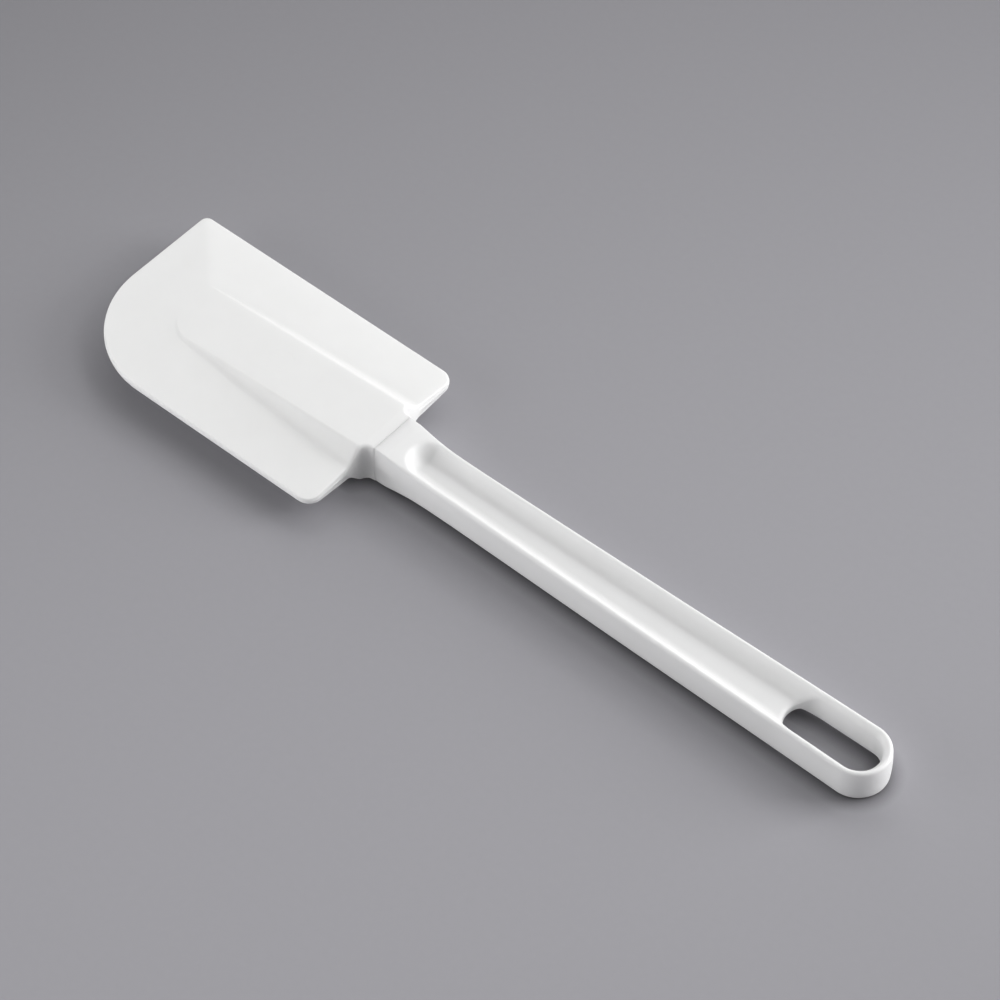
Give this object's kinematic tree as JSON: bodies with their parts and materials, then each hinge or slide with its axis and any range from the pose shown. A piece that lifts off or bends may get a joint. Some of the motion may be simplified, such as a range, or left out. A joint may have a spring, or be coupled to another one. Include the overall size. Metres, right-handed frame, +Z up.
{
  "type": "bowl scraper",
  "caption": "One-hand bowl scraper: a flexible blade with one square and one round corner, moulded on to a rigid grooved handle with a hanging slot.",
  "frame": {"origin": "on the ground below the middle of the tool as it lies at rest", "axes": "+Z up, +X along the tool from the loop to the blade's tip, +Y towards the blade's round corner"},
  "size_m": [0.343, 0.077, 0.0184],
  "materials": {
    "handle_plastic": "satin",
    "blade_plastic": "matte"
  },
  "bodies": {
    "root": {"handle": "handle_plastic", "blade": "blade_plastic"}
  },
  "joints": []
}
